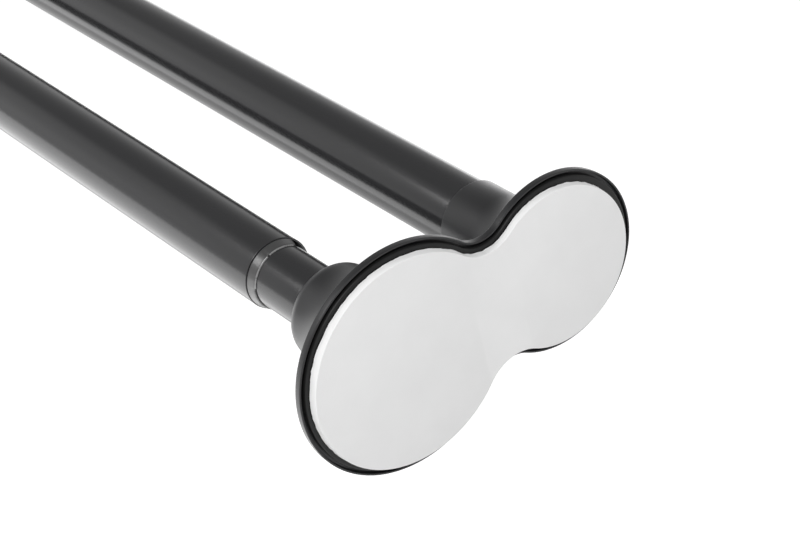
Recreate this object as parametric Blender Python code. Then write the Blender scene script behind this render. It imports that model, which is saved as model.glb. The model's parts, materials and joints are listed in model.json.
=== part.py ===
"""Double tension curtain rod: two telescoping rods laid head to tail between two shared wall ends.

The origin is the middle of the near wall face, on the line between both rod axes.
The rods run along -X and the near wall face looks along +X.
Each end carries the inner tube of one rod in its domed boss, which fixes it, and the outer tube
of the other rod in its collar, in which that tube turns.  The far end is the near end turned
half a turn about Z.  Turning an outer tube turns a screw jack inside it, through a split sleeve
that grips the tube's wall.
"""

import bmesh
import bpy
from math import acos, asin, atan2, cos, hypot, pi, radians, sin, sqrt

# Overall layout
OVERALL_LENGTH = 1.1176
ROD_SPACING = 0.0593
MOUTH_STANDOFF = 0.0734
FIT_GAP = 0.0003

# Tubes
OUTER_TUBE_RADIUS = 0.0125
OUTER_TUBE_WALL = 0.0006
INNER_TUBE_RADIUS = 0.0109
INNER_TUBE_WALL = 0.0006
INNER_TUBE_SHORTFALL = 0.160

# Wall pad: two unequal round lobes joined by hollow waists
PAD_LARGE_RADIUS = 0.0358
PAD_SMALL_RADIUS = 0.0275
PAD_WAIST_RADIUS = 0.0131
PAD_THICKNESS = 0.0025
PAD_EDGE_ROUND = 0.0003

# Plate that carries the pad and holds both tubes
PLATE_OVERHANG = 0.00175
PLATE_THICKNESS = 0.0018
SPIGOT_RADIUS = 0.008
SPIGOT_LENGTH = 0.0051
SOCKET_WALL = 0.0018
SOCKET_LENGTH = 0.0134

# Moulded end cover
SMALL_LOBE_SHIFT = 0.001
RIM_OVERHANG = 0.0035
RIM_WALL = 0.00065
RIM_SETBACK = 0.0034
RIM_DEPTH = 0.0025
RIM_EDGE_ROUND = 0.00025
SHELL_WALL = 0.002
BOSS_RADIUS = 0.0168
BOSS_REACH = 0.0446
BOSS_EDGE_ROUND = 0.0052
BOSS_BACK_WALL = 0.0025
BOSS_FLARE_START = 0.038
BOSS_FOOT_RADIUS = 0.038
COLLAR_WALL = 0.0007
COLLAR_REACH = 0.0437
COLLAR_FLARE_START = 0.030
COLLAR_FOOT_RADIUS = 0.0293

# Split bushing in the mouth of an outer tube
BUSHING_NECK_LENGTH = 0.030
BUSHING_COLLAR_LENGTH = 0.0037
BUSHING_COLLAR_STEP = 0.0003
BUSHING_SLIT_ANGLE = radians(50)
BUSHING_SLIT_CENTRE = radians(26)
BUSHING_FRONT_WALL = 0.00035

# Plugs in the tube ends at the wall
PLUG_HEAD = 0.002
PLUG_LENGTH = 0.022
PLUG_BORE_RADIUS = 0.00205
PLUG_BORE_DEPTH = 0.016
JOURNAL_RADIUS = 0.0045
SCREW_SHANK_RADIUS = 0.00175
SCREW_LENGTH = 0.0155
SCREW_HEAD_RADIUS = 0.0032
SCREW_HEAD_HEIGHT = 0.0013
SWIVEL_HEAD_RADIUS = 0.006
SWIVEL_HEAD_HEIGHT = 0.0013
HEAD_SETBACK = 0.0003

# Screw jack at the inner end of an inner tube
NUT_PLUG_LENGTH = 0.026
NUT_PLUG_FLANGE = 0.002
DRIVE_RADIUS = 0.004
DRIVE_BACK_LENGTH = 0.120
WASHER_THICKNESS = 0.0015
HUB_FLANGE = 0.0025
HUB_FLANGE_MARGIN = 0.0007
HUB_LENGTH = 0.0225
HUB_ROOT_RADIUS = 0.0092
HUB_TIP_RADIUS = 0.0064
SLEEVE_LENGTH = 0.017
SLEEVE_SLIT_ANGLE = radians(16)
LOCK_NUT_WIDTH = 0.016
LOCK_NUT_HEIGHT = 0.0065
DRIVE_TIP = 0.003

# Fineness of the curved faces
TUBE_SIDES = 36
CAP_SIDES = 36
PLUG_SIDES = 24
SCREW_SIDES = 16
LOBE_STEPS = 28
WAIST_STEPS = 6
ROUND_STEPS = 4
FLARE_STEPS = 5
SMOOTH_ANGLE = radians(32)
WELD_DISTANCE = 0.000001

# Depths behind the wall face that several pieces share
PLATE_FRONT = PAD_THICKNESS + FIT_GAP
PLATE_BACK = PLATE_FRONT + PLATE_THICKNESS
LEDGE = PLATE_BACK + FIT_GAP
RIM_BACK = RIM_SETBACK + RIM_DEPTH
SPIGOT_END = PLATE_BACK + SPIGOT_LENGTH
PLUG_FRONT = SPIGOT_END + FIT_GAP
TUBE_SEAT = PLUG_FRONT + PLUG_HEAD + FIT_GAP
OUTER_TUBE_BORE = OUTER_TUBE_RADIUS - OUTER_TUBE_WALL
INNER_TUBE_BORE = INNER_TUBE_RADIUS - INNER_TUBE_WALL
COLLAR_RADIUS = OUTER_TUBE_RADIUS + FIT_GAP + COLLAR_WALL
DRIVE_BORE = DRIVE_RADIUS + FIT_GAP
SCREW_CLEARANCE = SCREW_SHANK_RADIUS + FIT_GAP
INNER_TUBE_END = OVERALL_LENGTH - INNER_TUBE_SHORTFALL
JACK_START = INNER_TUBE_END + FIT_GAP + NUT_PLUG_FLANGE
HUB_START = JACK_START + FIT_GAP + WASHER_THICKNESS + FIT_GAP
HUB_END = HUB_START + HUB_LENGTH

FINISHES = {
    "satin_black_tube": ((0.022, 0.022, 0.023, 1.0), 0.34, 0.0),
    "black_plastic": ((0.024, 0.024, 0.025, 1.0), 0.42, 0.0),
    "grey_nylon": ((0.20, 0.20, 0.20, 1.0), 0.38, 0.0),
    "white_foam": ((0.78, 0.78, 0.78, 1.0), 0.85, 0.0),
    "zinc_steel": ((0.56, 0.57, 0.58, 1.0), 0.32, 1.0),
    "white_nylon": ((0.74, 0.74, 0.72, 1.0), 0.45, 0.0),
}


def clear_scene():
    for old in list(bpy.data.objects):
        bpy.data.objects.remove(old, do_unlink=True)


def finish_for(name, finish):
    colour, roughness, metallic = FINISHES[finish]
    material = bpy.data.materials.new(f"{name}_{finish}")
    material.use_nodes = True
    shader = material.node_tree.nodes["Principled BSDF"]
    shader.inputs["Base Color"].default_value = colour
    shader.inputs["Roughness"].default_value = roughness
    shader.inputs["Metallic"].default_value = metallic
    material.diffuse_color = colour
    return material


def mesh_object(name, bm):
    bmesh.ops.recalc_face_normals(bm, faces=bm.faces)
    mesh = bpy.data.meshes.new(name)
    bm.to_mesh(mesh)
    bm.free()
    mesh.shade_smooth()
    mesh.set_sharp_from_angle(angle=SMOOTH_ANGLE)
    made = bpy.data.objects.new(name, mesh)
    bpy.context.scene.collection.objects.link(made)
    return made


def spun(name, profile, sides, closed=True):
    """Turn a profile of (depth, radius) points about the local X axis, depth running along -X.

    An open profile starts and ends on the axis, and its flat ends become single faces.
    """
    bm = bmesh.new()
    points = [bm.verts.new((-depth, 0.0, radius)) for depth, radius in profile]
    pairs = list(zip(points, points[1:]))
    if closed:
        pairs.append((points[-1], points[0]))
    edges = [bm.edges.new(pair) for pair in pairs]
    bmesh.ops.spin(bm, geom=points + edges, cent=(0, 0, 0), axis=(1, 0, 0),
                   angle=2 * pi, steps=sides, use_merge=True)
    bmesh.ops.remove_doubles(bm, verts=bm.verts, dist=1e-7)
    hubs = [vert for vert in bm.verts if hypot(vert.co.y, vert.co.z) < 1e-7]
    bmesh.ops.dissolve_verts(bm, verts=hubs)
    return mesh_object(name, bm)


def split_ring(name, profile, sides, slit_centre, slit_angle):
    """Turn a closed profile about the local X axis, leaving a slit of the given angle."""
    start = slit_centre + slit_angle / 2
    bm = bmesh.new()
    points = [bm.verts.new((-depth, radius * cos(start), radius * sin(start)))
              for depth, radius in profile]
    section = bm.faces.new(points)
    bmesh.ops.spin(bm, geom=[section], cent=(0, 0, 0), axis=(1, 0, 0),
                   angle=2 * pi - slit_angle, steps=sides)
    return mesh_object(name, bm)


def arc(centre, radius, start, end, steps):
    """Points on a circle from one angle to another, both ends included."""
    step = (end - start) / steps
    return [(centre[0] + radius * cos(start + step * i), centre[1] + radius * sin(start + step * i))
            for i in range(steps + 1)]


def lobed_outline(grow, shift):
    """Outline of the pad in the YZ plane, grown outward: large lobe at -Y, small lobe at +Y.

    The shift moves the small lobe outward, away from the large one.
    """
    large = PAD_LARGE_RADIUS + grow
    small = PAD_SMALL_RADIUS + grow
    waist = PAD_WAIST_RADIUS - grow
    large_y = -ROD_SPACING / 2
    small_y = ROD_SPACING / 2 + shift
    to_large = large + waist
    to_small = small + waist
    waist_y = (large_y + small_y) / 2 + (to_large ** 2 - to_small ** 2) / (2 * (small_y - large_y))
    waist_z = sqrt(to_large ** 2 - (waist_y - large_y) ** 2)
    at_large = atan2(waist_z, waist_y - large_y)
    at_small = atan2(waist_z, waist_y - small_y)
    outline = arc((large_y, 0.0), large, at_large, 2 * pi - at_large, LOBE_STEPS)
    outline += arc((waist_y, -waist_z), waist, pi - at_large, pi - at_small, WAIST_STEPS)[1:-1]
    outline += arc((small_y, 0.0), small, -at_small, at_small, LOBE_STEPS)
    outline += arc((waist_y, waist_z), waist, at_small - pi, at_large - pi, WAIST_STEPS)[1:-1]
    return outline


def lobed_body(name, stations, shift):
    """Loft the pad outline through (depth, growth) stations and close both ends."""
    bm = bmesh.new()
    loops = []
    for depth, grow in stations:
        loops.append([bm.verts.new((-depth, y, z)) for y, z in lobed_outline(grow, shift)])
    count = len(loops[0])
    for near, far in zip(loops, loops[1:]):
        for i in range(count):
            j = (i + 1) % count
            bm.faces.new((near[i], near[j], far[j], far[i]))
    ends = [bm.faces.new(loops[0]), bm.faces.new(loops[-1])]
    bmesh.ops.triangulate(bm, faces=ends)
    return mesh_object(name, bm)


def combine(target, tool, operation):
    """Cut a tool from a target or weld it on; the tool stays as a wire guide."""
    change = target.modifiers.new(f"{operation.lower()}_{tool.name}", "BOOLEAN")
    change.operation = operation
    change.solver = "EXACT"
    change.object = tool
    tool.hide_render = True
    tool.display_type = "WIRE"


def on_axis(tool, side):
    """Place a tool on one of the two rod axes: -1 is the fixed tube's axis, +1 the turning one's."""
    tool.location = (0.0, side * ROD_SPACING / 2, 0.0)
    return tool


def flare_circle(start, radius, foot_radius):
    """Circle of a flare that leaves a cylinder smoothly and widens to its foot on the rim's back."""
    rise = foot_radius - radius
    run = start - RIM_BACK
    bend = (rise ** 2 + run ** 2) / (2 * rise)
    return (start, radius + bend), bend


def flare_outside(start, radius, foot_radius):
    """Outer flare down to the rim's back, then straight down to inside the rim."""
    centre, bend = flare_circle(start, radius, foot_radius)
    sweep = asin((start - RIM_BACK) / bend)
    bury = LEDGE + FIT_GAP
    return arc(centre, bend, -pi / 2, -pi / 2 - sweep, FLARE_STEPS) + [(bury, foot_radius), (bury, 0.0)]


def flare_inside(start, radius, foot_radius, begin_radius):
    """The flare one wall further in, from the radius where the hollow begins to inside the recess."""
    centre, bend = flare_circle(start, radius, foot_radius)
    reach = bend + SHELL_WALL
    mouth = LEDGE - FIT_GAP
    begin = acos(min(1.0, (centre[1] - begin_radius) / reach))
    end = asin((start - mouth) / reach)
    return arc(centre, reach, -pi / 2 - begin, -pi / 2 - end, FLARE_STEPS) + [(mouth, 0.0)]


def boss_outer_profile():
    """Domed boss with a rounded back edge, widening like a bell to its foot."""
    shoulder = (BOSS_REACH - BOSS_EDGE_ROUND, BOSS_RADIUS - BOSS_EDGE_ROUND)
    profile = [(BOSS_REACH, 0.0)]
    profile += arc(shoulder, BOSS_EDGE_ROUND, 0.0, pi / 2, ROUND_STEPS)
    return profile + flare_outside(BOSS_FLARE_START, BOSS_RADIUS, BOSS_FOOT_RADIUS)


def boss_inner_profile():
    """Cavity of the boss: tube hole in the back wall, then the outer form one wall further in."""
    hole = INNER_TUBE_RADIUS + FIT_GAP
    inner = BOSS_RADIUS - SHELL_WALL
    back = BOSS_REACH - BOSS_BACK_WALL
    round_inside = min(BOSS_EDGE_ROUND - SHELL_WALL, inner - hole)
    profile = [(BOSS_REACH + SHELL_WALL, 0.0), (BOSS_REACH + SHELL_WALL, hole), (back, hole)]
    profile += arc((back - round_inside, inner - round_inside), round_inside, 0.0, pi / 2, ROUND_STEPS - 1)
    return profile + flare_inside(BOSS_FLARE_START, BOSS_RADIUS, BOSS_FOOT_RADIUS, inner)


def collar_outer_profile():
    """Straight collar around an outer tube, widening to its foot."""
    lip = COLLAR_WALL / 3
    profile = [(COLLAR_REACH, 0.0), (COLLAR_REACH, COLLAR_RADIUS - lip), (COLLAR_REACH - lip, COLLAR_RADIUS)]
    return profile + flare_outside(COLLAR_FLARE_START, COLLAR_RADIUS, COLLAR_FOOT_RADIUS)


def collar_inner_profile():
    """Bore for the outer tube, opening into the flare one wall further in."""
    bore = OUTER_TUBE_RADIUS + FIT_GAP
    profile = [(COLLAR_REACH + SHELL_WALL, 0.0), (COLLAR_REACH + SHELL_WALL, bore)]
    return profile + flare_inside(COLLAR_FLARE_START, COLLAR_RADIUS, COLLAR_FOOT_RADIUS, bore)


def end_cover(name):
    """Moulded cover: lobed rim round a recess, domed boss and collar, hollowed from the wall side."""
    inside = RIM_OVERHANG - RIM_WALL
    edge = RIM_OVERHANG - RIM_EDGE_ROUND
    rim = lobed_body(name, [
        (LEDGE, inside),
        (RIM_SETBACK, inside),
        (RIM_SETBACK, edge),
        (RIM_SETBACK + RIM_EDGE_ROUND, RIM_OVERHANG),
        (RIM_BACK - RIM_EDGE_ROUND, RIM_OVERHANG),
        (RIM_BACK, edge),
    ], SMALL_LOBE_SHIFT)
    boss = on_axis(spun(f"{name}_boss", boss_outer_profile(), CAP_SIDES, closed=False), -1)
    collar = on_axis(spun(f"{name}_collar", collar_outer_profile(), CAP_SIDES, closed=False), 1)
    boss_hollow = on_axis(spun(f"{name}_boss_hollow", boss_inner_profile(), CAP_SIDES, closed=False), -1)
    collar_hollow = on_axis(spun(f"{name}_collar_hollow", collar_inner_profile(), CAP_SIDES, closed=False), 1)
    combine(rim, boss, "UNION")
    combine(rim, collar, "UNION")
    combine(rim, boss_hollow, "DIFFERENCE")
    combine(rim, collar_hollow, "DIFFERENCE")
    weld = rim.modifiers.new("weld", "WELD")
    weld.merge_threshold = WELD_DISTANCE
    return rim, [boss, collar, boss_hollow, collar_hollow]


def pad_plate(name):
    """Plate in the cover's recess: a socket and a screw spigot for the fixed tube, a pivot for the other."""
    plate = lobed_body(name, [(PLATE_FRONT, PLATE_OVERHANG), (PLATE_BACK, PLATE_OVERHANG)], SMALL_LOBE_SHIFT)
    bury = PLATE_THICKNESS / 2
    root = PLATE_BACK - bury
    socket_bore = INNER_TUBE_RADIUS + FIT_GAP
    socket = on_axis(spun(f"{name}_socket", [
        (root, socket_bore), (PLATE_BACK + SOCKET_LENGTH, socket_bore),
        (PLATE_BACK + SOCKET_LENGTH, socket_bore + SOCKET_WALL), (root, socket_bore + SOCKET_WALL),
    ], CAP_SIDES), -1)
    tools = [socket]
    combine(plate, socket, "UNION")
    holes = (
        (-1, SCREW_CLEARANCE, SCREW_HEAD_RADIUS, SCREW_HEAD_HEIGHT),
        (1, JOURNAL_RADIUS + FIT_GAP, SWIVEL_HEAD_RADIUS, SWIVEL_HEAD_HEIGHT),
    )
    for side, hole, head, height in holes:
        tag = "fixed" if side < 0 else "pivot"
        spigot = on_axis(spun(f"{name}_{tag}_spigot", [
            (root, 0.0), (root, SPIGOT_RADIUS), (SPIGOT_END, SPIGOT_RADIUS), (SPIGOT_END, 0.0),
        ], SCREW_SIDES, closed=False), side)
        sunk = PLATE_FRONT + HEAD_SETBACK + height + FIT_GAP
        drill = on_axis(spun(f"{name}_{tag}_drill", [
            (0.0, 0.0), (0.0, head + FIT_GAP), (sunk, head + FIT_GAP), (sunk, hole),
            (SPIGOT_END + bury, hole), (SPIGOT_END + bury, 0.0),
        ], SCREW_SIDES, closed=False), side)
        combine(plate, spigot, "UNION")
        combine(plate, drill, "DIFFERENCE")
        tools += [spigot, drill]
    return plate, tools


def wall_pad(name):
    """Soft pad that meets the wall, its two long edges slightly rounded."""
    return lobed_body(name, [
        (0.0, -PAD_EDGE_ROUND),
        (PAD_EDGE_ROUND, 0.0),
        (PAD_THICKNESS, 0.0),
    ], 0.0)


def fixed_plug(name):
    """Plug in the wall end of an inner tube, drawn against the spigot by its screw."""
    skirt = INNER_TUBE_BORE - FIT_GAP
    end = TUBE_SEAT + PLUG_LENGTH
    return spun(name, [
        (PLUG_FRONT, PLUG_BORE_RADIUS), (PLUG_FRONT, INNER_TUBE_RADIUS),
        (TUBE_SEAT - FIT_GAP, INNER_TUBE_RADIUS), (TUBE_SEAT - FIT_GAP, skirt), (end, skirt),
        (end, PLUG_BORE_RADIUS),
    ], PLUG_SIDES)


def fixing_screw(name):
    """Screw through the plate into the plug of the fixed tube."""
    front = PLATE_FRONT + HEAD_SETBACK
    seat = front + SCREW_HEAD_HEIGHT
    return spun(name, [
        (front, 0.0), (front, SCREW_HEAD_RADIUS), (seat, SCREW_HEAD_RADIUS), (seat, SCREW_SHANK_RADIUS),
        (seat + SCREW_LENGTH, SCREW_SHANK_RADIUS), (seat + SCREW_LENGTH, 0.0),
    ], SCREW_SIDES, closed=False)


def swivel_plug(name):
    """Plug in the wall end of an outer tube, with the journal that turns in the plate's pivot."""
    skirt = OUTER_TUBE_BORE - FIT_GAP
    end = TUBE_SEAT + PLUG_LENGTH
    seat = PLATE_FRONT + HEAD_SETBACK + SWIVEL_HEAD_HEIGHT + FIT_GAP
    bottom = seat + PLUG_BORE_DEPTH
    return spun(name, [
        (bottom, 0.0), (bottom, PLUG_BORE_RADIUS), (seat, PLUG_BORE_RADIUS), (seat, JOURNAL_RADIUS),
        (PLUG_FRONT, JOURNAL_RADIUS), (PLUG_FRONT, OUTER_TUBE_RADIUS),
        (TUBE_SEAT - FIT_GAP, OUTER_TUBE_RADIUS), (TUBE_SEAT - FIT_GAP, skirt), (end, skirt), (end, 0.0),
    ], PLUG_SIDES, closed=False)


def swivel_screw(name):
    """Wide-headed screw that keeps the journal in its pivot and turns with it."""
    front = PLATE_FRONT + HEAD_SETBACK
    seat = front + SWIVEL_HEAD_HEIGHT
    length = PLUG_BORE_DEPTH - FIT_GAP
    return spun(name, [
        (front, 0.0), (front, SWIVEL_HEAD_RADIUS), (seat, SWIVEL_HEAD_RADIUS), (seat, SCREW_SHANK_RADIUS),
        (seat + length, SCREW_SHANK_RADIUS), (seat + length, 0.0),
    ], SCREW_SIDES, closed=False)


def tube(name, start, end, radius, wall):
    return spun(name, [(start, radius - wall), (start, radius), (end, radius), (end, radius - wall)], TUBE_SIDES)


def mouth_bushing(name):
    """Split bushing: a thin neck inside the outer tube and a tapered collar in front of its mouth."""
    bore = INNER_TUBE_RADIUS + FIT_GAP
    neck = OUTER_TUBE_BORE - FIT_GAP
    collar = OUTER_TUBE_RADIUS - BUSHING_COLLAR_STEP
    seat = MOUTH_STANDOFF - FIT_GAP
    front = seat - BUSHING_COLLAR_LENGTH
    return split_ring(name, [
        (front, bore), (front, bore + BUSHING_FRONT_WALL), (seat, collar), (seat, neck),
        (MOUTH_STANDOFF + BUSHING_NECK_LENGTH, neck),
        (MOUTH_STANDOFF + BUSHING_NECK_LENGTH, bore),
    ], TUBE_SIDES, BUSHING_SLIT_CENTRE, BUSHING_SLIT_ANGLE)


def nut_plug(name):
    """Threaded plug in the inner end of an inner tube."""
    skirt = INNER_TUBE_BORE - FIT_GAP
    return spun(name, [
        (INNER_TUBE_END - NUT_PLUG_LENGTH, DRIVE_BORE), (INNER_TUBE_END - NUT_PLUG_LENGTH, skirt),
        (INNER_TUBE_END + FIT_GAP, skirt), (INNER_TUBE_END + FIT_GAP, INNER_TUBE_RADIUS),
        (JACK_START, INNER_TUBE_RADIUS), (JACK_START, DRIVE_BORE),
    ], PLUG_SIDES)


def thrust_washer(name):
    start = JACK_START + FIT_GAP
    return spun(name, [
        (start, DRIVE_BORE), (start, INNER_TUBE_RADIUS), (start + WASHER_THICKNESS, INNER_TUBE_RADIUS),
        (start + WASHER_THICKNESS, DRIVE_BORE),
    ], PLUG_SIDES)


def drive_screw(name):
    """Lead screw through the nut plug, as long inside the inner tube as the jack needs."""
    start = INNER_TUBE_END - DRIVE_BACK_LENGTH
    end = HUB_END + FIT_GAP + LOCK_NUT_HEIGHT + DRIVE_TIP
    point = DRIVE_RADIUS / 4
    return spun(name, [
        (start, 0.0), (start, DRIVE_RADIUS - point), (start + point, DRIVE_RADIUS),
        (end - point, DRIVE_RADIUS), (end, DRIVE_RADIUS - point), (end, 0.0),
    ], SCREW_SIDES, closed=False)


def lock_hub(name):
    """Hub fixed on the screw: a flange and the cone that spreads the sleeve."""
    cone = HUB_START + HUB_FLANGE
    rim = OUTER_TUBE_BORE - HUB_FLANGE_MARGIN
    return spun(name, [
        (HUB_START, DRIVE_BORE), (HUB_START, rim), (cone, rim), (cone, HUB_ROOT_RADIUS),
        (HUB_END, HUB_TIP_RADIUS), (HUB_END, DRIVE_BORE),
    ], PLUG_SIDES)


def lock_sleeve(name):
    """Split sleeve on the hub's cone, just clear of the outer tube's wall."""
    start = HUB_START + HUB_FLANGE + FIT_GAP
    end = start + SLEEVE_LENGTH
    taper = (HUB_ROOT_RADIUS - HUB_TIP_RADIUS) / (HUB_LENGTH - HUB_FLANGE)
    room = FIT_GAP * hypot(1.0, taper)
    outer = OUTER_TUBE_BORE - FIT_GAP
    return split_ring(name, [
        (start, HUB_ROOT_RADIUS + room), (start, outer), (end, outer),
        (end, HUB_ROOT_RADIUS + room - taper * SLEEVE_LENGTH),
    ], PLUG_SIDES, pi / 2, SLEEVE_SLIT_ANGLE)


def lock_nut(name):
    """Hexagon nut that keeps the sleeve on the hub."""
    start = HUB_END + FIT_GAP
    corner = LOCK_NUT_WIDTH / (2 * cos(pi / 6))
    nut = spun(name, [
        (start, 0.0), (start, corner), (start + LOCK_NUT_HEIGHT, corner), (start + LOCK_NUT_HEIGHT, 0.0),
    ], 6, closed=False)
    drill = spun(f"{name}_drill", [
        (start - LOCK_NUT_HEIGHT, 0.0), (start - LOCK_NUT_HEIGHT, DRIVE_BORE),
        (start + 2 * LOCK_NUT_HEIGHT, DRIVE_BORE), (start + 2 * LOCK_NUT_HEIGHT, 0.0),
    ], SCREW_SIDES, closed=False)
    combine(nut, drill, "DIFFERENCE")
    return nut, [drill]


def empty(name, location, turn, parent=None):
    made = bpy.data.objects.new(name, None)
    made.empty_display_size = OUTER_TUBE_RADIUS
    made.location = location
    made.rotation_euler = (0.0, 0.0, turn)
    made.parent = parent
    bpy.context.scene.collection.objects.link(made)
    return made


def put(made, finish, parent):
    """Give a piece its finish and hang it, with any tools it was cut with, on its frame."""
    piece, tools = made if isinstance(made, tuple) else (made, [])
    piece.data.materials.clear()
    piece.data.materials.append(finish_for(piece.name, finish))
    for member in [piece] + tools:
        member.parent = parent


def build_end(end, fixed_rod, turning_rod, location, turn):
    """One wall end with the tube fixed in it and what that tube carries."""
    half = ROD_SPACING / 2
    frame = empty(f"{end}_end_frame", location, turn)
    fixed_axis = empty(f"{fixed_rod}_fixed_axis", (0.0, -half, 0.0), 0.0, frame)
    turning_axis = empty(f"{turning_rod}_turning_axis", (0.0, half, 0.0), 0.0, frame)

    put(end_cover(f"{end}_cover"), "black_plastic", frame)
    put(pad_plate(f"{end}_pad_plate"), "black_plastic", frame)
    put(wall_pad(f"{end}_pad"), "white_foam", frame)

    put(fixed_plug(f"{fixed_rod}_fixed_plug"), "black_plastic", fixed_axis)
    put(fixing_screw(f"{fixed_rod}_fixing_screw"), "zinc_steel", fixed_axis)
    put(tube(f"{fixed_rod}_inner_tube", TUBE_SEAT, INNER_TUBE_END, INNER_TUBE_RADIUS, INNER_TUBE_WALL),
        "satin_black_tube", fixed_axis)
    put(nut_plug(f"{fixed_rod}_nut_plug"), "white_nylon", fixed_axis)
    put(thrust_washer(f"{fixed_rod}_thrust_washer"), "zinc_steel", fixed_axis)
    put(drive_screw(f"{fixed_rod}_drive_screw"), "zinc_steel", fixed_axis)
    put(lock_hub(f"{fixed_rod}_lock_hub"), "white_nylon", fixed_axis)
    put(lock_sleeve(f"{fixed_rod}_lock_sleeve"), "white_nylon", fixed_axis)
    put(lock_nut(f"{fixed_rod}_lock_nut"), "zinc_steel", fixed_axis)
    put(tube(f"{fixed_rod}_outer_tube", MOUTH_STANDOFF, OVERALL_LENGTH - TUBE_SEAT, OUTER_TUBE_RADIUS,
             OUTER_TUBE_WALL), "satin_black_tube", fixed_axis)
    put(mouth_bushing(f"{fixed_rod}_mouth_bushing"), "grey_nylon", fixed_axis)

    put(swivel_plug(f"{turning_rod}_swivel_plug"), "black_plastic", turning_axis)
    put(swivel_screw(f"{turning_rod}_swivel_screw"), "zinc_steel", turning_axis)


def main():
    clear_scene()
    build_end("near", "front", "rear", (0.0, 0.0, 0.0), 0.0)
    build_end("far", "rear", "front", (-OVERALL_LENGTH, 0.0, 0.0), pi)


main()
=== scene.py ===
"""Looks of the double shower curtain rod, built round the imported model.

Each moulding, tube and pad is made again as a fine mesh where its solid lies, and every piece gets
a procedural material.  Lengths are metres.  Depth is the distance behind a wall face.
"""

import json
from math import acos, atan2, cos, hypot, pi, radians, sin, sqrt

import bmesh
import bpy
from mathutils import Matrix, Vector, noise


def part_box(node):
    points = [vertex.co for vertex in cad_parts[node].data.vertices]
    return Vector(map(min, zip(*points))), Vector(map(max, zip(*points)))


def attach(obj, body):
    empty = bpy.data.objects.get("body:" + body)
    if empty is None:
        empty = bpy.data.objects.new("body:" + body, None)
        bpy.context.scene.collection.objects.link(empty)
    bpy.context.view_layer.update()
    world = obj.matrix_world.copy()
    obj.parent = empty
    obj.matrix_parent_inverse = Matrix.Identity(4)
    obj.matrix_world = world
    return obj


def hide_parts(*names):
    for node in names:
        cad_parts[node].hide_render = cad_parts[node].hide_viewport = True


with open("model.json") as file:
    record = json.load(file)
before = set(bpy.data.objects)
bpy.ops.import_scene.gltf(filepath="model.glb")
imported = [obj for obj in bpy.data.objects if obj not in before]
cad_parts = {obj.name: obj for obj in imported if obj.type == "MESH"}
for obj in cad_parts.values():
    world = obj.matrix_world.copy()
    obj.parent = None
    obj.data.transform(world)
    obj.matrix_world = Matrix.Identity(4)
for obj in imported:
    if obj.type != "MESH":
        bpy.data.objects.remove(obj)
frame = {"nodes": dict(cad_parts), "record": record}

# Driving dimensions, the same as those of the solids
OVERALL_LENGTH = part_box("near_pad")[1].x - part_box("far_pad")[0].x
ROD_SPACING = 0.0593
MOUTH_STANDOFF = 0.0734
FIT_GAP = 0.0003
OUTER_TUBE_RADIUS = 0.0125
INNER_TUBE_RADIUS = 0.0109
TUBE_WALL = 0.0006
TUBE_SEAT = 0.0123
INNER_TUBE_SHORTFALL = 0.160

PAD_LARGE_RADIUS = 0.0358
PAD_SMALL_RADIUS = 0.0275
PAD_WAIST_RADIUS = 0.0131
PAD_THICKNESS = 0.0025
PLATE_OVERHANG = 0.00175
PLATE_THICKNESS = 0.0018
SPIGOT_RADIUS = 0.008
SPIGOT_LENGTH = 0.0051
SOCKET_WALL = 0.0018
SOCKET_LENGTH = 0.0134
SCREW_CLEARANCE = 0.00205
SCREW_HEAD_RADIUS = 0.0032
JOURNAL_RADIUS = 0.0045
SWIVEL_HEAD_RADIUS = 0.006
HEAD_DEPTH = 0.0019

SMALL_LOBE_SHIFT = 0.001
RIM_OVERHANG = 0.0035
RIM_WALL = 0.00065
RIM_SETBACK = 0.0034
RIM_DEPTH = 0.0025
SHELL_WALL = 0.002
BOSS_RADIUS = 0.0168
BOSS_REACH = 0.0446
BOSS_EDGE_ROUND = 0.0052
BOSS_BACK_WALL = 0.0025
BOSS_FLARE_START = 0.038
BOSS_FOOT_RADIUS = 0.038
COLLAR_WALL = 0.0007
COLLAR_REACH = 0.0437
COLLAR_FLARE_START = 0.030
COLLAR_FOOT_RADIUS = 0.0293

BUSHING_NECK_LENGTH = 0.030
BUSHING_COLLAR_LENGTH = 0.0037
BUSHING_COLLAR_STEP = 0.0003
BUSHING_SLIT_ANGLE = radians(50)
BUSHING_SLIT_CENTRE = radians(26)
BUSHING_FRONT_WALL = 0.00035

# Small rounds, blends and unevenness that only the fine meshes have; cells are noise cells per
# metre, or per radian round the bushing
TUBE_LIP_ROUND = 0.00024
COLLAR_LIP_ROUND = COLLAR_WALL / 3
RIM_ROUND = 0.00042
RIM_LIP_ROUND = 0.00016
PLATE_ROUND = 0.0007
PAD_ROUND = 0.00016
PAD_EDGE_SPREAD = 0.00022
PAD_EDGE_WAVE = 0.00025
PAD_EDGE_WAVE_CELLS = 150
PAD_EDGE_TEAR = 0.0003
PAD_EDGE_TEAR_CELLS = 700
PAD_EDGE_TEAR_POWER = 3
BUSHING_ROUND = 0.00014
BUSHING_NOSE = 0.0008
BUSHING_LIP = 0.00022
BUSHING_STEP = 0.0004
BUSHING_TEAR = 0.0004
BUSHING_TEAR_CELLS = 14
WAIST_SOFTENING = 0.0012
FOOT_BLEND = 0.0006
VALLEY_BLEND = 0.002
# The line across the cover where the boss's half of its mesh meets the collar's
DIVIDE_Y = 0.0045

# Where the pad's soft cut side bulges most, or is pinched: y, z, how far along the edge, how much
PAD_BULGES = (
    (-0.061, 0.015, 0.012, 0.00055),
    (-0.006, 0.026, 0.008, 0.00035),
    (-0.035, 0.036, 0.014, 0.00015),
    (0.006, 0.021, 0.007, -0.00045),
)
# The front edge of the bushing reaches a little further between two directions, but for a nick
BUSHING_TONGUE = (radians(55), radians(170))
BUSHING_NICK = radians(107)
BUSHING_NICK_REACH = radians(2)

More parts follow.
